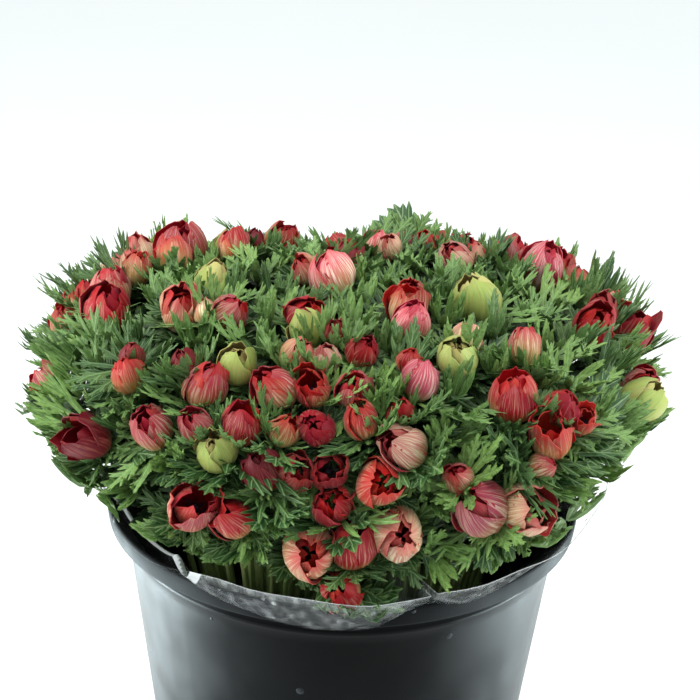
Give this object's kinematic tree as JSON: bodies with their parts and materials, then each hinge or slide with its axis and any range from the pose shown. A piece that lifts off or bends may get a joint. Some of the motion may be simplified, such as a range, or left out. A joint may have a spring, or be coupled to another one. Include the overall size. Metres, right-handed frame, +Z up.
{
  "type": "bucket of cut anemones",
  "caption": "Round black florist's bucket packed with tight red and pink anemone blooms on leafy stems, in two clear film sleeves that stand in water.",
  "frame": {"origin": "centre of the underside of the bucket's flat base", "axes": "+Z up out of the bucket's mouth, -Y towards the side that the picture shows, +X to its right"},
  "size_m": [0.4791, 0.4002, 0.5055],
  "materials": {
    "bucket": "satin black, moulded",
    "water": "clear water",
    "film": "clear film",
    "leaf": "matt fresh green leaves and stems",
    "petal": "silky, from crimson to blush pink and green"
  },
  "bodies": {
    "root": {"bucket": "bucket", "water": "water", "leafy_stems_left": "leaf", "film_sleeve_left": "film", "leafy_stems_right": "leaf", "film_sleeve_right": "film", "blooms_01": "petal", "blooms_02": "petal", "blooms_03": "petal", "blooms_04": "petal", "blooms_05": "petal", "blooms_06": "petal", "blooms_07": "petal", "blooms_08": "petal", "blooms_09": "petal", "blooms_10": "petal", "blooms_11": "petal", "blooms_12": "petal", "blooms_13": "petal", "blooms_14": "petal", "blooms_15": "petal", "blooms_16": "petal", "blooms_17": "petal", "blooms_18": "petal", "blooms_19": "petal", "blooms_20": "petal", "blooms_21": "petal", "blooms_22": "petal", "blooms_23": "petal", "blooms_24": "petal", "blooms_25": "petal", "blooms_26": "petal", "blooms_27": "petal", "blooms_28": "petal", "blooms_29": "petal", "blooms_30": "petal", "blooms_31": "petal", "blooms_32": "petal", "blooms_33": "petal", "blooms_34": "petal", "blooms_35": "petal", "blooms_36": "petal", "blooms_37": "petal", "blooms_38": "petal", "blooms_39": "petal", "blooms_40": "petal", "blooms_41": "petal", "blooms_42": "petal", "blooms_43": "petal", "blooms_44": "petal", "blooms_45": "petal", "blooms_46": "petal", "blooms_47": "petal", "blooms_48": "petal", "blooms_49": "petal", "blooms_50": "petal", "blooms_51": "petal", "blooms_52": "petal", "blooms_53": "petal", "blooms_54": "petal"}
  },
  "joints": []
}
